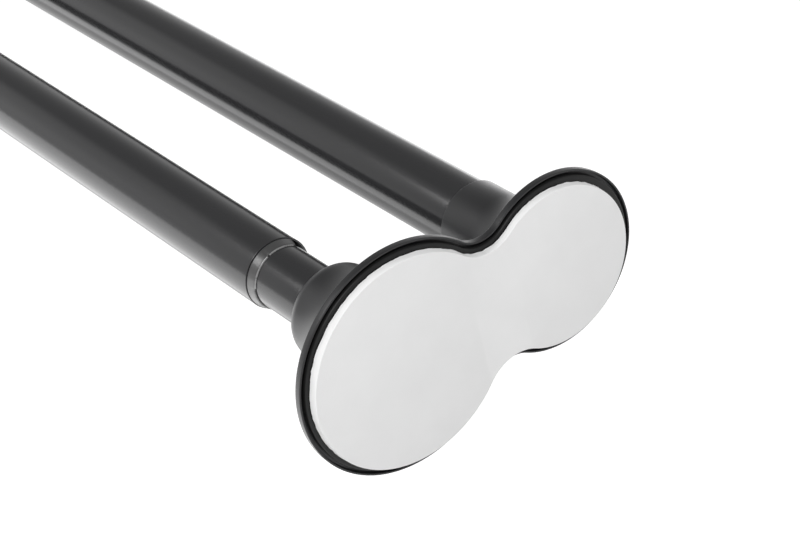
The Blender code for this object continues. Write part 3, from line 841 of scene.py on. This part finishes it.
def floor():
    """A wide white floor well below the rods, which keeps their soft shadow."""
    bm = bmesh.new()
    bmesh.ops.create_circle(bm, cap_ends=True, segments=FLOOR_SIDES, radius=FLOOR_RADIUS)
    made = finish_mesh("floor", bm, Matrix.Translation((-OVERALL_LENGTH / 2, 0, FLOOR_HEIGHT)))
    material = bpy.data.materials.new("white_floor")
    material.use_nodes = True
    nodes, links = material.node_tree.nodes, material.node_tree.links
    shader = nodes["Principled BSDF"]
    shader.inputs["Base Color"].default_value = (*FLOOR_COLOUR, 1)
    shader.inputs["Roughness"].default_value = FLOOR_ROUGHNESS
    shader.inputs["Specular IOR Level"].default_value = 0.0
    shader.inputs["Emission Color"].default_value = WHITE
    # The camera, gloss and glass all see the floor glow at one strength
    path = nodes.new("ShaderNodeLightPath").outputs
    seen = path["Is Camera Ray"]
    for kind in ("Is Glossy Ray", "Is Transmission Ray"):
        seen = joined(nodes, links, "MAXIMUM", seen, path[kind])
    glow = nodes.new("ShaderNodeMath")
    glow.operation = "MULTIPLY"
    glow.inputs[1].default_value = FLOOR_GLOW
    links.new(seen, glow.inputs[0])
    links.new(glow.outputs[0], shader.inputs["Emission Strength"])
    made.data.materials.append(material)


def camera():
    """The photograph's camera."""
    flat = cos(CAMERA_ELEVATION)
    forward = Vector((cos(CAMERA_AZIMUTH) * flat, sin(CAMERA_AZIMUTH) * flat,
                      sin(CAMERA_ELEVATION)))
    level = forward.cross(Vector((0, 0, 1))).normalized()
    drop = forward.cross(level)
    right = cos(CAMERA_ROLL) * level + sin(CAMERA_ROLL) * drop
    down = -sin(CAMERA_ROLL) * level + cos(CAMERA_ROLL) * drop
    data = bpy.data.cameras.new("camera")
    data.sensor_width = SENSOR_MM
    data.lens = CAMERA_LENS_MM
    data.clip_start = CLIP_START
    data.clip_end = CLIP_END
    made = bpy.data.objects.new("camera", data)
    bpy.context.scene.collection.objects.link(made)
    turn = Matrix((right, -down, -forward)).transposed().to_4x4()
    made.matrix_world = Matrix.Translation(CAMERA_PLACE) @ turn
    bpy.context.scene.camera = made


def build_end(end, fixed_rod, looks):
    """The pieces of one wall end and of the rod whose small tube is fixed in it."""
    body = f"{end}_end"
    outer_body = f"{fixed_rod}_outer"
    dress(cover(f"{end}_cover_moulding", end_place(end)),
          looks["plastic"], body, f"{end}_cover")
    dress(pad_plate(f"{end}_plate_moulding", end),
          looks["plate"], body, f"{end}_pad_plate")
    pad = wall_pad(f"{end}_foam_pad", end)
    dress(pad, looks["foam"], body, f"{end}_pad")
    axis = rod_place(end, -1)
    small_wall = tube_profile(TUBE_SEAT, OVERALL_LENGTH - INNER_TUBE_SHORTFALL, INNER_TUBE_RADIUS)
    dress(turned(f"{fixed_rod}_small_tube", small_wall, axis),
          looks["tube"], body, f"{fixed_rod}_inner_tube")
    big_wall = tube_profile(MOUTH_STANDOFF, OVERALL_LENGTH - TUBE_SEAT, OUTER_TUBE_RADIUS)
    dress(turned(f"{fixed_rod}_big_tube", big_wall, axis),
          looks["big_tube"], outer_body, f"{fixed_rod}_outer_tube")
    dress(bushing(f"{fixed_rod}_split_bushing", axis),
          looks["nylon"], outer_body, f"{fixed_rod}_mouth_bushing")


def dress_inside(looks):
    """Materials for the solids that stay as they are."""
    by_slot = {"black_plastic": looks["plastic"], "zinc_steel": looks["zinc"],
               "white_nylon": looks["white"]}
    for entry in frame["record"]["subparts"]:
        node = frame["nodes"][entry["node"]]
        if not node.hide_render:
            dress(node, by_slot[entry["material_slot"]])


def main():
    """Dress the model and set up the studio."""
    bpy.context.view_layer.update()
    looks = {
        "tube": coated_tube("satin_black_coat", INNER_TUBE_RADIUS - TUBE_WALL),
        "big_tube": coated_tube("satin_black_coat_outer", OUTER_TUBE_RADIUS - TUBE_WALL),
        "nylon": grey_nylon(),
        "foam": white_foam(),
    }
    for key, finish in GRAINED_FINISHES.items():
        looks[key] = grained(**finish)
    build_end("near", "front", looks)
    build_end("far", "rear", looks)
    dress_inside(looks)
    floor()
    studio()
    camera()
    bpy.context.scene.view_settings.view_transform = "Standard"


main()
